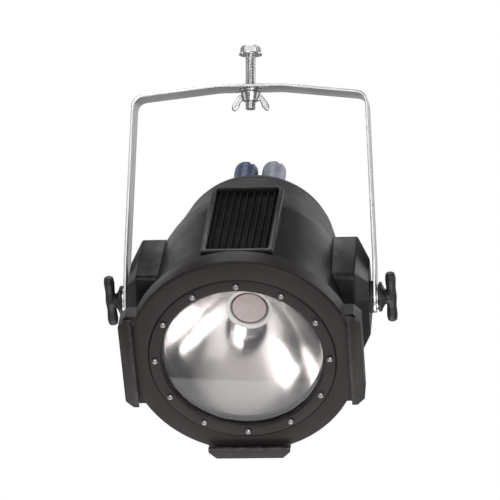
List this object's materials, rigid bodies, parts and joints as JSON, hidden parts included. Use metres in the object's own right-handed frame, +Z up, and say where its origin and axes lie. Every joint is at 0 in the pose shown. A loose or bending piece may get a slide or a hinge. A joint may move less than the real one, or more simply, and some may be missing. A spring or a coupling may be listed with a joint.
{
  "type": "par can light",
  "caption": "Black COB LED par can with a deep mirror reflector behind a flat glass, tilting in a silver flat-bar yoke that hangs from one bolt.",
  "frame": {"origin": "centre of the yoke's top pad, where the underside of the crossbar rests on the bolt's axis", "axes": "+Z up along the hanging bolt, -Y the way the lamp shines (it points 42 degrees below that at rest), +X to the right for someone who faces the lamp front from -Y"},
  "size_m": [0.2736, 0.274, 0.3912],
  "materials": {
    "black_cast": "satin black powder coat",
    "black_plastic": "satin",
    "bare_steel": "satin",
    "yoke_silver": "satin",
    "mirror": "polished",
    "glass": "gloss",
    "phosphor": "matte",
    "white_plastic": "matte",
    "raw_aluminium": "satin",
    "circuit_board": "satin",
    "silicone": "matte",
    "blue_plastic": "satin",
    "grey_plastic": "satin",
    "screen": "gloss"
  },
  "bodies": {
    "hanger": {"hanger_bolt": "bare_steel", "hanger_washer": "bare_steel", "hanger_washer_top": "bare_steel"},
    "yoke": {"yoke": "yoke_silver"},
    "head": {"front_bezel": "black_cast", "glass_retainer": "black_cast", "main_housing": "black_cast", "rear_housing": "black_cast", "rear_panel": "black_cast", "pivot_boss_left": "black_cast", "pivot_boss_right": "black_cast", "top_fin_panel": "black_cast", "fan_frame": "black_plastic", "dmx_inlet": "black_plastic", "dmx_outlet": "black_plastic", "knob_stud_left": "bare_steel", "knob_stud_right": "bare_steel", "safety_eyelet": "bare_steel", "retainer_screw_01": "bare_steel", "retainer_screw_02": "bare_steel", "retainer_screw_03": "bare_steel", "retainer_screw_04": "bare_steel", "retainer_screw_05": "bare_steel", "retainer_screw_06": "bare_steel", "retainer_screw_07": "bare_steel", "retainer_screw_08": "bare_steel", "retainer_screw_09": "bare_steel", "retainer_screw_10": "bare_steel", "retainer_screw_11": "bare_steel", "retainer_screw_12": "bare_steel", "reflector": "mirror", "lens_glass": "glass", "cob_phosphor": "phosphor", "cob_holder": "white_plastic", "cob_substrate": "raw_aluminium", "heat_sink": "raw_aluminium", "power_supply": "raw_aluminium", "control_board": "circuit_board", "friction_washer_left": "silicone", "friction_washer_right": "silicone", "lens_gasket": "silicone", "power_inlet": "blue_plastic", "power_outlet": "grey_plastic", "display_module": "screen"},
    "knob_right": {"knob_right": "black_plastic"},
    "knob_washer_right": {"knob_washer_right": "bare_steel"},
    "knob_left": {"knob_left": "black_plastic"},
    "knob_washer_left": {"knob_washer_left": "bare_steel"},
    "wing_nut": {"wing_nut": "bare_steel"},
    "fan_rotor": {"fan_rotor": "black_plastic"},
    "menu_button_1": {"menu_button_1": "grey_plastic"},
    "menu_button_2": {"menu_button_2": "grey_plastic"},
    "menu_button_3": {"menu_button_3": "grey_plastic"},
    "menu_button_4": {"menu_button_4": "grey_plastic"}
  },
  "joints": [
    {"name": "yoke_pan", "type": "hinge", "parent": "hanger", "child": "yoke", "pos_m": [0, 0, 0], "axis": [0, 0, 1], "continuous": true},
    {"name": "head_tilt", "type": "hinge", "parent": "yoke", "child": "head", "pos_m": [0, 0, -0.202], "axis": [1, 0, 0], "range_deg": [-130, 140]},
    {"name": "fan_spin", "type": "hinge", "parent": "head", "child": "fan_rotor", "pos_m": [0, 0.04236, -0.16386], "axis": [0, 0.7431, 0.6691], "continuous": true},
    {"name": "knob_right_back_off", "type": "slide", "parent": "head", "child": "knob_washer_right", "axis": [1, 0, 0], "range_m": [0, 0.00375]},
    {"name": "knob_right_turn", "type": "hinge", "parent": "knob_washer_right", "child": "knob_right", "pos_m": [0, 0, -0.202], "axis": [1, 0, 0], "range_deg": [0, 1080]},
    {"name": "knob_left_back_off", "type": "slide", "parent": "head", "child": "knob_washer_left", "axis": [-1, 0, 0], "range_m": [0, 0.00375]},
    {"name": "knob_left_turn", "type": "hinge", "parent": "knob_washer_left", "child": "knob_left", "pos_m": [0, 0, -0.202], "axis": [-1, 0, 0], "range_deg": [0, 1080]},
    {"name": "wing_nut_turn", "type": "hinge", "parent": "hanger", "child": "wing_nut", "pos_m": [0, 0, -0.0056], "axis": [0, 0, -1], "range_deg": [0, 1080]},
    {"name": "menu_button_1_press", "type": "slide", "parent": "head", "child": "menu_button_1", "axis": [0, -0.7431, -0.6691], "range_m": [0, 0.0008], "stiffness_N_per_m": 400, "springref_m": -0.0015},
    {"name": "menu_button_2_press", "type": "slide", "parent": "head", "child": "menu_button_2", "axis": [0, -0.7431, -0.6691], "range_m": [0, 0.0008], "stiffness_N_per_m": 400, "springref_m": -0.0015},
    {"name": "menu_button_3_press", "type": "slide", "parent": "head", "child": "menu_button_3", "axis": [0, -0.7431, -0.6691], "range_m": [0, 0.0008], "stiffness_N_per_m": 400, "springref_m": -0.0015},
    {"name": "menu_button_4_press", "type": "slide", "parent": "head", "child": "menu_button_4", "axis": [0, -0.7431, -0.6691], "range_m": [0, 0.0008], "stiffness_N_per_m": 400, "springref_m": -0.0015}
  ],
  "couplings": [
    {"joint": "knob_right_back_off", "follows": "knob_right_turn", "m_per_rad": 0.00019894},
    {"joint": "knob_left_back_off", "follows": "knob_left_turn", "m_per_rad": 0.00019894}
  ]
}
